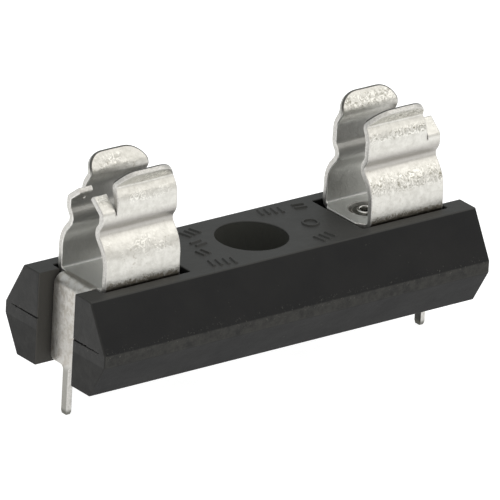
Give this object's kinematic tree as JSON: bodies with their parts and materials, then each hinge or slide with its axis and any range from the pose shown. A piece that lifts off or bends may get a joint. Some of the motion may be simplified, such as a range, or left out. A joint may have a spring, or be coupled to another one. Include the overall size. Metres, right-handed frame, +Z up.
{
  "type": "cartridge fuse holder",
  "caption": "Open cartridge fuse holder for circuit boards: moulded insulating base with sprung sheet-metal clips, riveted terminals, solder pins and a centre screw hole.",
  "frame": {"origin": "middle of the base's footprint, on the plane where its underside meets the circuit board", "axes": "+X along the fuse, from the left clip to the right clip; +Z up, out of the board; +Y towards the rear arms"},
  "size_m": [0.038, 0.0132, 0.0207],
  "materials": {
    "base_plastic": "satin black thermoset moulding with a fine speckle",
    "clip_plating": "satin tin plate on spring bronze, slightly mottled",
    "rivet_metal": "dull plated brass"
  },
  "bodies": {
    "holder": {"base_moulding": "base_plastic", "clip_left": "clip_plating", "clip_right": "clip_plating", "rivet_left": "rivet_metal", "rivet_right": "rivet_metal"},
    "left_front_arm": {"arm_left_front": "clip_plating"},
    "left_rear_arm": {"arm_left_rear": "clip_plating"},
    "right_front_arm": {"arm_right_front": "clip_plating"},
    "right_rear_arm": {"arm_right_rear": "clip_plating"}
  },
  "joints": [
    {"name": "left_front_flex", "type": "hinge", "parent": "holder", "child": "left_front_arm", "pos_m": [-0.01303, -0.00288, 0.00805], "axis": [1, 0, 0], "range_deg": [0, 26], "stiffness_Nm_per_rad": 0.09},
    {"name": "left_rear_flex", "type": "hinge", "parent": "holder", "child": "left_rear_arm", "pos_m": [-0.01303, 0.00288, 0.00805], "axis": [-1, 0, 0], "range_deg": [0, 26], "stiffness_Nm_per_rad": 0.09},
    {"name": "right_front_flex", "type": "hinge", "parent": "holder", "child": "right_front_arm", "pos_m": [0.01303, -0.00288, 0.00805], "axis": [1, 0, 0], "range_deg": [0, 26], "stiffness_Nm_per_rad": 0.09},
    {"name": "right_rear_flex", "type": "hinge", "parent": "holder", "child": "right_rear_arm", "pos_m": [0.01303, 0.00288, 0.00805], "axis": [-1, 0, 0], "range_deg": [0, 26], "stiffness_Nm_per_rad": 0.09}
  ]
}
